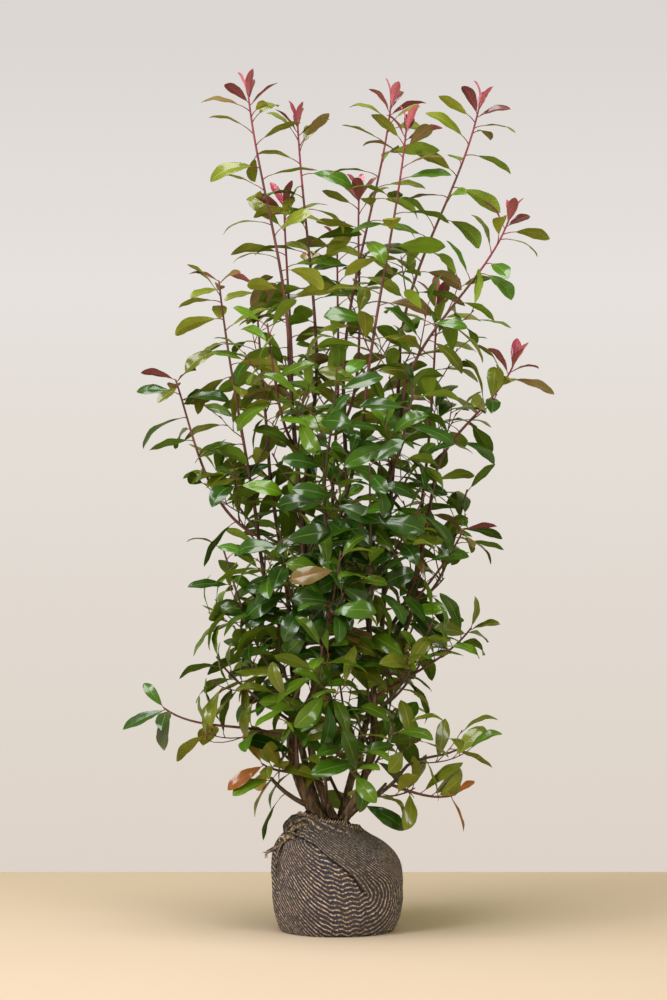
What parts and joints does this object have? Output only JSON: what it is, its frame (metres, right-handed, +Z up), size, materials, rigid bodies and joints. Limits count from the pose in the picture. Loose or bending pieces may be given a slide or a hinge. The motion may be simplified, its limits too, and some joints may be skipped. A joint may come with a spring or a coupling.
{
  "type": "evergreen shrub with root ball",
  "caption": "Broad-leaved evergreen hedge shrub with several stems and red shoot tips, standing free on a root ball wrapped in striped jute.",
  "frame": {"origin": "middle of the flat underside of the root ball, on the ground", "axes": "+Z up along the stems, +X to the right of the best side, -Y towards the viewer of the best side"},
  "size_m": [0.8285, 0.633, 1.7058],
  "materials": {
    "jute": "coarse knitted jute, dark blue grey with tan ribs",
    "root_ball": "packed soil under coarse striped jute",
    "soil": "crumbly dark soil",
    "bark": "fine grey-brown bark, redder on young wood",
    "foliage": "glossy dark green leaves on red twigs"
  },
  "bodies": {
    "root": {"bough_back": "bark", "bough_back_left": "bark", "bough_back_right": "bark", "bough_left": "bark", "bough_right": "bark", "bough_right_high": "bark", "bough_top_centre": "bark", "bough_top_front": "bark", "bough_top_inner": "bark", "bough_top_left": "bark", "bough_top_right": "bark", "foliage_back_foot": "foliage", "foliage_back_left": "foliage", "foliage_back_low_left": "foliage", "foliage_back_low_right": "foliage", "foliage_back_mid": "foliage", "foliage_back_right": "foliage", "foliage_back_top": "foliage", "foliage_back_top_left": "foliage", "foliage_back_top_right": "foliage", "foliage_front_centre": "foliage", "foliage_front_foot": "foliage", "foliage_front_high": "foliage", "foliage_front_inner": "foliage", "foliage_front_left": "foliage", "foliage_front_low": "foliage", "foliage_front_mid": "foliage", "foliage_front_right": "foliage", "foliage_front_right_foot": "foliage", "foliage_inner_back": "foliage", "foliage_inner_left": "foliage", "foliage_left_foot": "foliage", "foliage_left_long": "foliage", "foliage_left_low": "foliage", "foliage_left_mid": "foliage", "foliage_left_outer": "foliage", "foliage_right_foot": "foliage", "foliage_right_front": "foliage", "foliage_right_ground": "foliage", "foliage_right_high": "foliage", "foliage_right_low": "foliage", "foliage_right_mid": "foliage", "foliage_right_outer": "foliage", "foliage_right_reach": "foliage", "foliage_top_centre": "foliage", "foliage_top_front": "foliage", "foliage_top_inner": "foliage", "foliage_top_left": "foliage", "foliage_top_right": "foliage", "foliage_upper_left": "foliage", "jute_knot": "jute", "jute_rim": "jute", "neck_soil": "soil", "root_ball": "root_ball", "stem_back_left": "bark", "stem_back_right": "bark", "stem_centre": "bark", "stem_left": "bark", "stem_low_right": "bark", "stem_right": "bark"}
  },
  "joints": []
}
